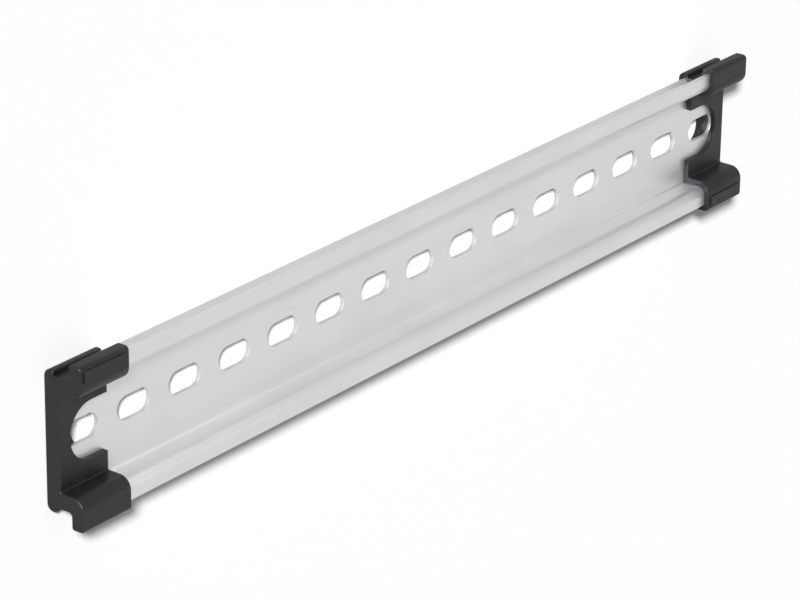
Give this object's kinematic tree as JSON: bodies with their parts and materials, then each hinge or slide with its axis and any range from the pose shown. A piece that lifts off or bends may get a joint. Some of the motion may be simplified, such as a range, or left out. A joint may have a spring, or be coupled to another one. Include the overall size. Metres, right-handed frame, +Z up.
{
  "type": "din rail",
  "caption": "Slotted 35 mm top-hat mounting rail with a moulded clip pushed on each end.",
  "frame": {"origin": "on the floor under the middle of the rail, at the level of the end clips' back faces", "axes": "+X along the rail towards end_clip_right, +Y across the rail, +Z up out of the open channel"},
  "size_m": [0.25, 0.0378, 0.0106],
  "materials": {
    "rail_metal": "light grey satin zinc plating on steel",
    "clip_plastic": "black moulded plastic with a soft sheen"
  },
  "bodies": {
    "root": {"rail": "rail_metal", "end_clip_left": "clip_plastic", "end_clip_right": "clip_plastic"}
  },
  "joints": []
}
